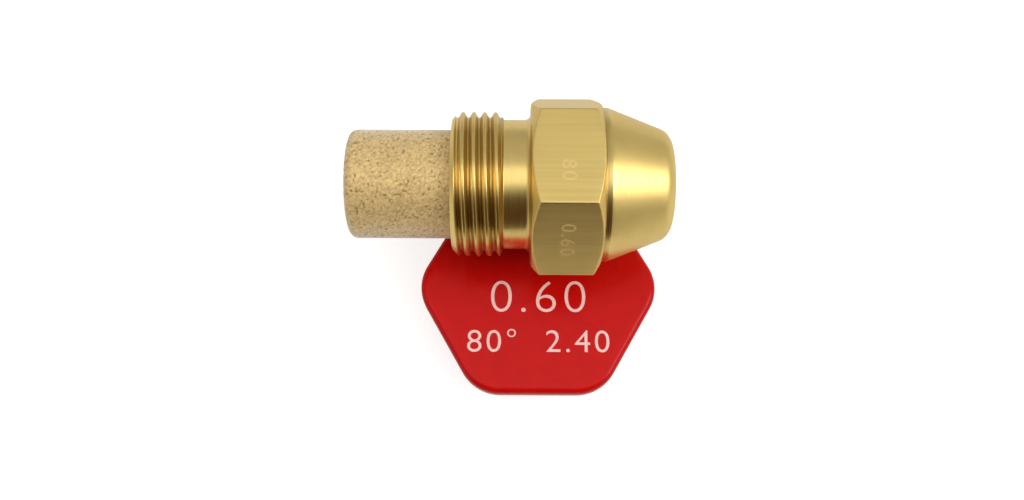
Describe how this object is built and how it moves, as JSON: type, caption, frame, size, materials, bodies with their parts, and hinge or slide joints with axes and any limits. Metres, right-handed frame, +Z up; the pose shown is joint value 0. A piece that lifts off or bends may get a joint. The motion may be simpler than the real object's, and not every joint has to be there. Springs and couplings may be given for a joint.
{
  "type": "oil burner nozzle",
  "caption": "Brass spray nozzle with hexagon, threaded shank, conical nose and sintered filter, lying on the hexagon lid of its storage tube.",
  "frame": {"origin": "middle of the nozzle and its lid in plan, at the table that the lid stands on", "axes": "+X along the nozzle's axis towards the spray, +Z up, square to the hexagon flat that faces up"},
  "size_m": [0.0314, 0.0286, 0.0229],
  "materials": {
    "machined_brass": "bright turned and milled brass",
    "stainless_steel": "fine turned stainless steel",
    "screw_brass": "turned brass",
    "sintered_bronze": "porous sintered bronze grains",
    "red_plastic": "glossy moulded red plastic"
  },
  "bodies": {
    "lid": {"tube_cap": "red_plastic"},
    "nozzle": {"nozzle_body": "machined_brass", "orifice_disc": "stainless_steel"},
    "swirler": {"distributor": "stainless_steel"},
    "insert": {"retaining_screw": "screw_brass", "filter_base": "screw_brass", "sintered_filter": "sintered_bronze"}
  },
  "joints": [
    {"name": "nozzle_lift", "type": "slide", "parent": "lid", "child": "nozzle", "axis": [0, 0, 1], "range_m": [0, 0.03]},
    {"name": "distributor_draw", "type": "slide", "parent": "nozzle", "child": "swirler", "axis": [-1, 0, 0], "range_m": [0, 0.0045]},
    {"name": "insert_turn", "type": "hinge", "parent": "swirler", "child": "insert", "pos_m": [-0.00562, 0.0051, 0.0149], "axis": [-1, 0, 0], "range_deg": [0, 2160]}
  ],
  "couplings": [
    {"joint": "distributor_draw", "follows": "insert_turn", "m_per_rad": 0.00011936}
  ]
}
